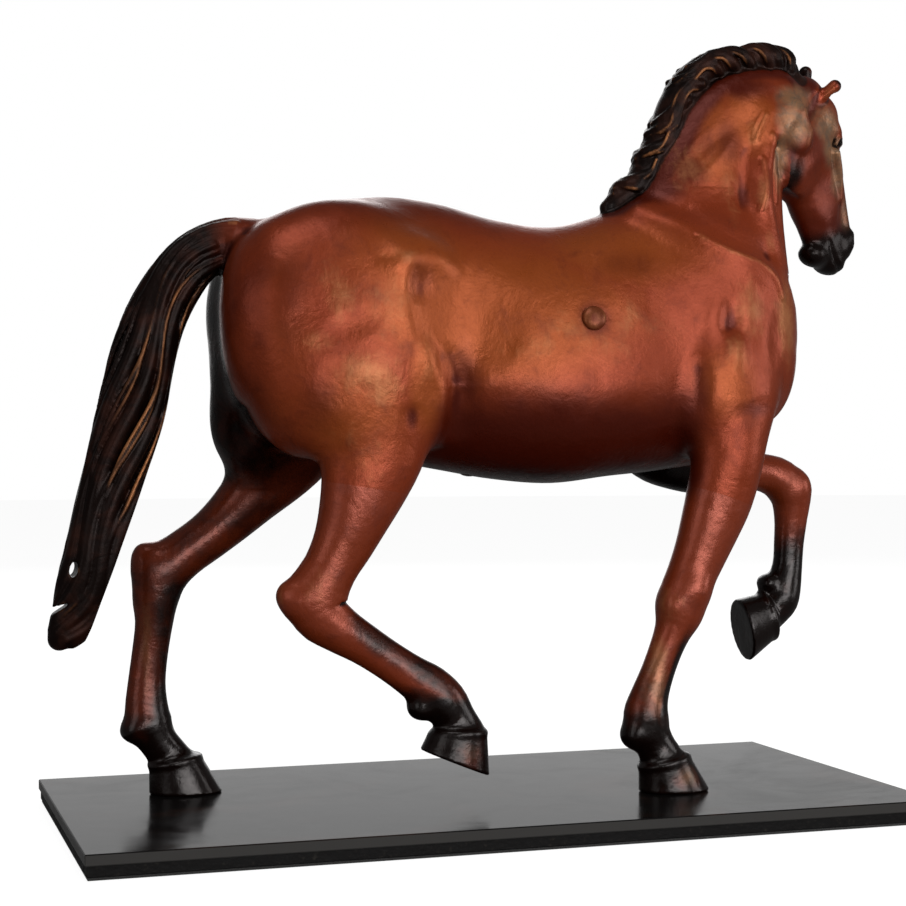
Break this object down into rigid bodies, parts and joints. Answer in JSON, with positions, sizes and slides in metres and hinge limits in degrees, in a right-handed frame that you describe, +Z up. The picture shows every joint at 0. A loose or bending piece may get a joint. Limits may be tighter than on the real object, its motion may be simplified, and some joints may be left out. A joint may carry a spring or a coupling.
{
  "type": "bronze statuette",
  "caption": "Statuette of a striding horse in patinated bronze, hollow castings pinned together, on a thin glossy black rectangular base with a felt underside.",
  "frame": {"origin": "centre of the base's underside, on the face of the felt", "axes": "+X along the base towards the end that the horse walks to, +Y towards the horse's left side, +Z up"},
  "size_m": [0.3574, 0.17, 0.326],
  "materials": {
    "bronze_chestnut": "chestnut patina under satin lacquer, rubbed golden on the high spots",
    "bronze_chestnut_and_black": "chestnut patina, black on the mane and muzzle, satin lacquer",
    "bronze_dark_hair": "black-brown patina with rubbed golden ridges",
    "bronze_leg": "chestnut patina that darkens to black at the hoof, satin lacquer",
    "bronze_plain": "filed bronze",
    "black_lacquer": "high-gloss black lacquer",
    "under_board_black": "black stain, less polished",
    "felt": "black wool felt",
    "steel": "zinc-plated"
  },
  "bodies": {
    "root": {"felt_lining": "felt", "under_board": "under_board_black", "top_board": "black_lacquer", "board_screws": "steel", "right_fore_hoof_stud": "steel", "left_hind_hoof_stud": "steel", "stud_washers": "steel", "stud_nuts": "steel", "torso_casting": "bronze_chestnut", "neck_head_casting": "bronze_chestnut_and_black", "tail_casting": "bronze_dark_hair", "right_foreleg_casting": "bronze_leg", "left_foreleg_casting": "bronze_leg", "right_hind_leg_casting": "bronze_leg", "left_hind_leg_casting": "bronze_leg", "neck_joint_pins": "bronze_plain", "tail_joint_pin": "bronze_plain", "right_foreleg_joint_pin": "bronze_plain", "left_foreleg_joint_pin": "bronze_plain", "right_hind_leg_joint_pin": "bronze_plain", "left_hind_leg_joint_pin": "bronze_plain", "core_plug_flank": "bronze_chestnut", "core_plug_belly_rear": "bronze_chestnut", "core_plug_belly_front": "bronze_chestnut"}
  },
  "joints": []
}
